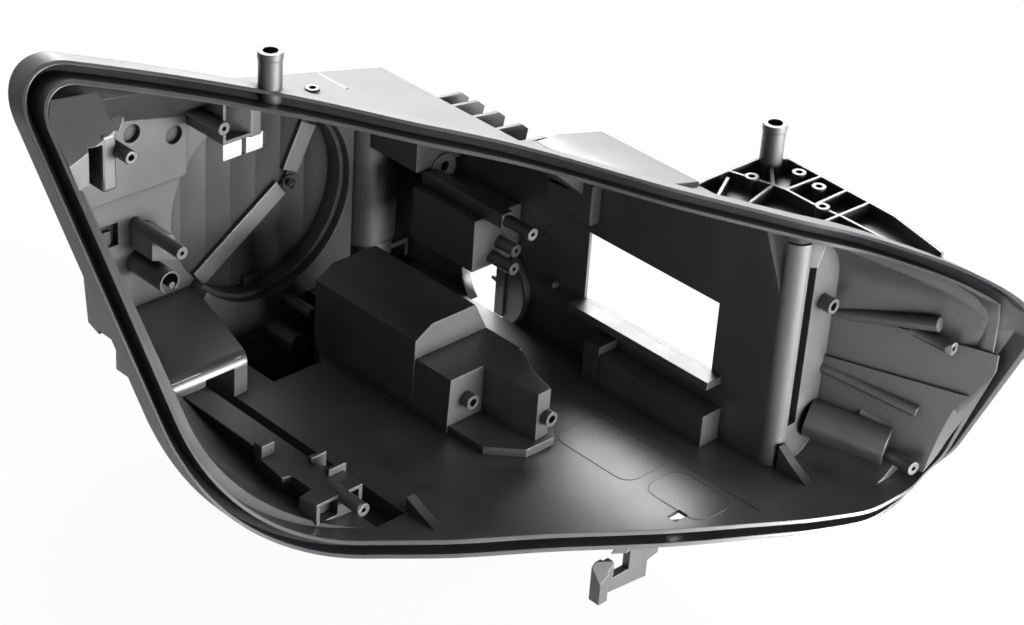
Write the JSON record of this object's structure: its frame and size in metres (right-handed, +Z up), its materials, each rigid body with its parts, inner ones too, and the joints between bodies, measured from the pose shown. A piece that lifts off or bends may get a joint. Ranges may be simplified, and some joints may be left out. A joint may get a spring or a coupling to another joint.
{
  "type": "headlamp housing",
  "caption": "Black moulded headlamp housing: open tray with a sealing channel round its rim, a closed round turret, a side window, screw bosses and fixing towers.",
  "frame": {"origin": "centre of the inboard fixing tower's bore at its top face", "axes": "+Z up along the tower's bore, +Y from the open front to the back, which is the draw direction, +X towards the inboard end"},
  "size_m": [0.4551, 0.538, 0.3346],
  "materials": {
    "black_plastic": "moulded satin black polypropylene, talc filled"
  },
  "bodies": {
    "root": {"housing": "black_plastic"}
  },
  "joints": []
}
